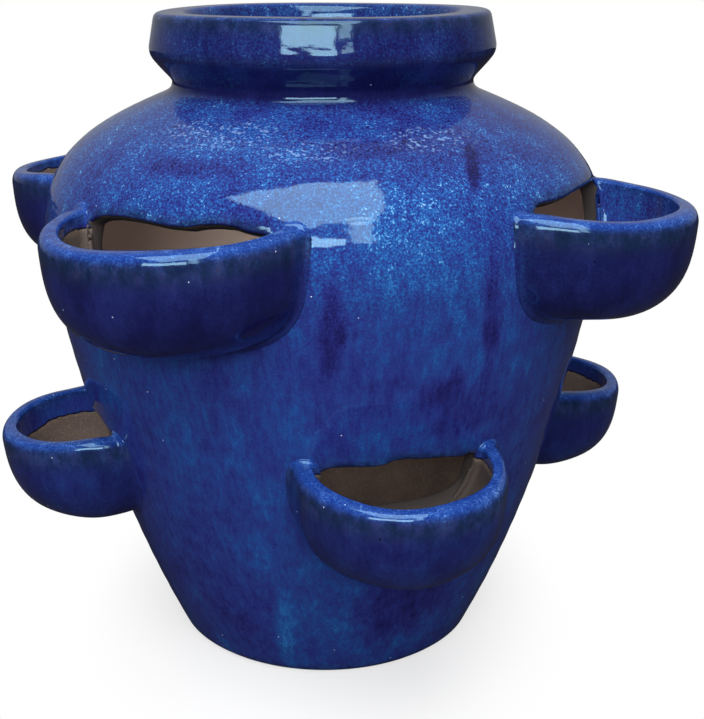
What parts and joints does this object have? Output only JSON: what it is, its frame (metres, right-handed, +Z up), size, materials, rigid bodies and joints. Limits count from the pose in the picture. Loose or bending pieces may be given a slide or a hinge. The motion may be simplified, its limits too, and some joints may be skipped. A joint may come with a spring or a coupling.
{
  "type": "strawberry jar planter",
  "caption": "Glazed stoneware strawberry jar: a round bellied jar with a rolled collar, open mouth, drain hole and staggered half-bowl planting pockets around its wall.",
  "frame": {"origin": "centre of the foot, on the ground", "axes": "+Z up along the jar's axis, -Y towards the front that the picture shows, +X to its right"},
  "size_m": [0.4825, 0.4795, 0.45],
  "materials": {
    "cobalt_glaze": "mottled cobalt blue gloss glaze on stoneware",
    "bare_clay": "matt unglazed fired clay"
  },
  "bodies": {
    "root": {"body_wall": "cobalt_glaze", "floor_disc": "bare_clay", "neck_collar": "cobalt_glaze", "upper_pocket_front": "cobalt_glaze", "upper_pocket_right": "cobalt_glaze", "upper_pocket_back": "cobalt_glaze", "upper_pocket_left": "cobalt_glaze", "lower_pocket_front": "cobalt_glaze", "lower_pocket_right": "cobalt_glaze", "lower_pocket_back": "cobalt_glaze", "lower_pocket_left": "cobalt_glaze"}
  },
  "joints": []
}
